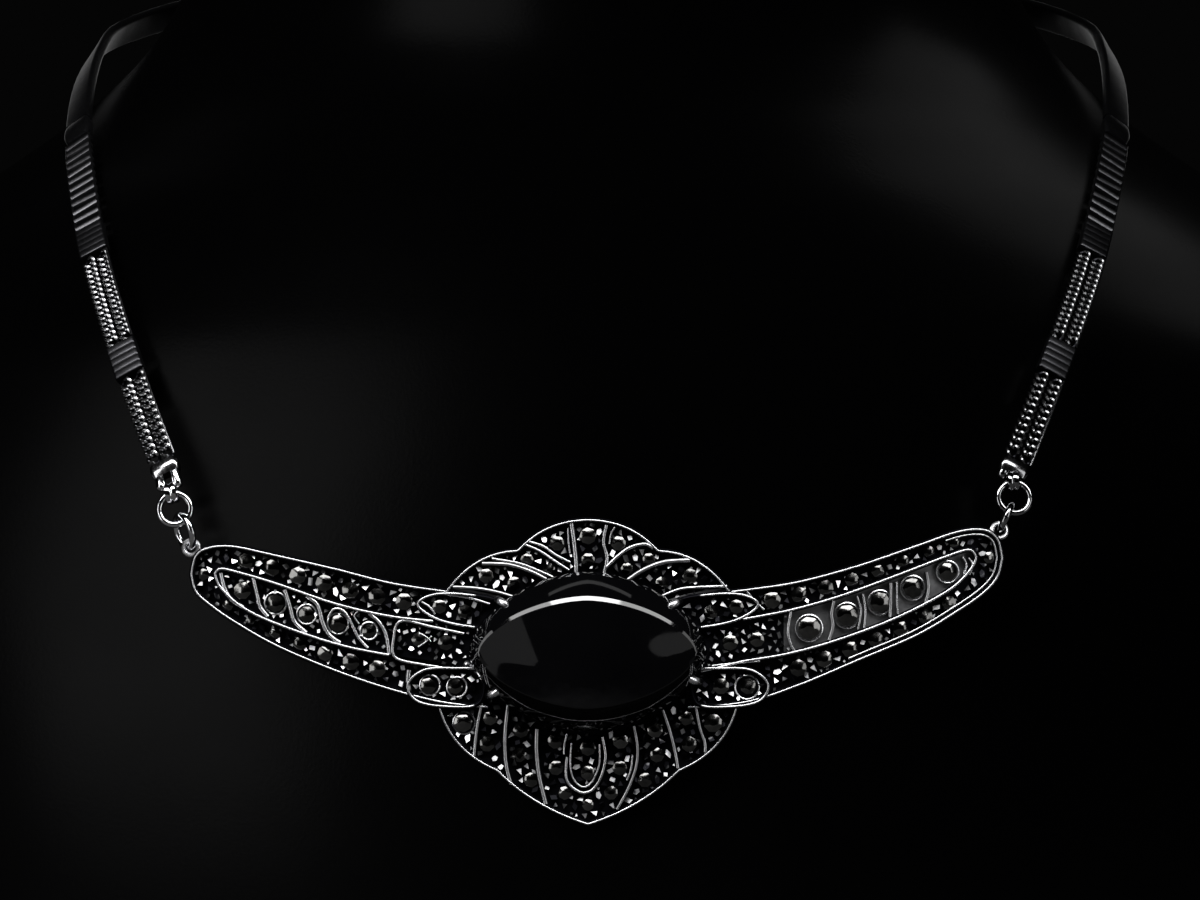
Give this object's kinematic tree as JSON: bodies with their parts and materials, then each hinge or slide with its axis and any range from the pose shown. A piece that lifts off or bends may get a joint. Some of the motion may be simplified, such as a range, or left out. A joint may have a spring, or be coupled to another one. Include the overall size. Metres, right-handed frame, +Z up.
{
  "type": "marcasite necklace on a neck bust",
  "caption": "Silver necklace with a winged marcasite front bar, a pronged black stone and a flat chain, worn on a plain black neck bust.",
  "frame": {"origin": "centre of the flat base that the neck bust stands on, below the front stone", "axes": "+Z up, -Y towards the viewer of the front bar, +X to that viewer's right"},
  "size_m": [0.192, 0.1259, 0.18],
  "materials": {
    "oxidised_silver": "polished rims with blackened recesses",
    "chain_silver": "polished, darkened with age",
    "marcasite": "polished facets",
    "onyx": "polished, opaque black",
    "bust": "satin"
  },
  "bodies": {
    "root": {"neck_bust": "bust", "front_frame": "oxidised_silver", "black_stone": "onyx", "left_wing_marcasites": "marcasite", "right_wing_marcasites": "marcasite", "shield_marcasites": "marcasite", "left_leaf_stone_1": "marcasite", "left_leaf_stone_2": "marcasite", "left_leaf_stone_3": "marcasite", "left_leaf_stone_4": "marcasite", "left_leaf_stone_5": "marcasite", "right_leaf_stone_1": "marcasite", "right_leaf_stone_2": "marcasite", "right_leaf_stone_3": "marcasite", "right_leaf_stone_4": "marcasite", "right_leaf_stone_5": "marcasite", "left_upper_ring": "chain_silver", "left_lower_ring": "chain_silver", "left_chain_end": "chain_silver", "left_weave_1": "chain_silver", "left_chain_plate_1": "chain_silver", "left_weave_2": "chain_silver", "left_chain_plate_2": "chain_silver", "left_weave_3": "chain_silver", "left_knuckle": "chain_silver", "left_smooth_band": "chain_silver", "right_upper_ring": "chain_silver", "right_lower_ring": "chain_silver", "right_chain_end": "chain_silver", "right_weave_1": "chain_silver", "right_chain_plate_1": "chain_silver", "right_weave_2": "chain_silver", "right_chain_plate_2": "chain_silver", "right_weave_3": "chain_silver", "right_knuckle": "chain_silver", "right_smooth_band": "chain_silver", "clasp": "chain_silver"}
  },
  "joints": []
}
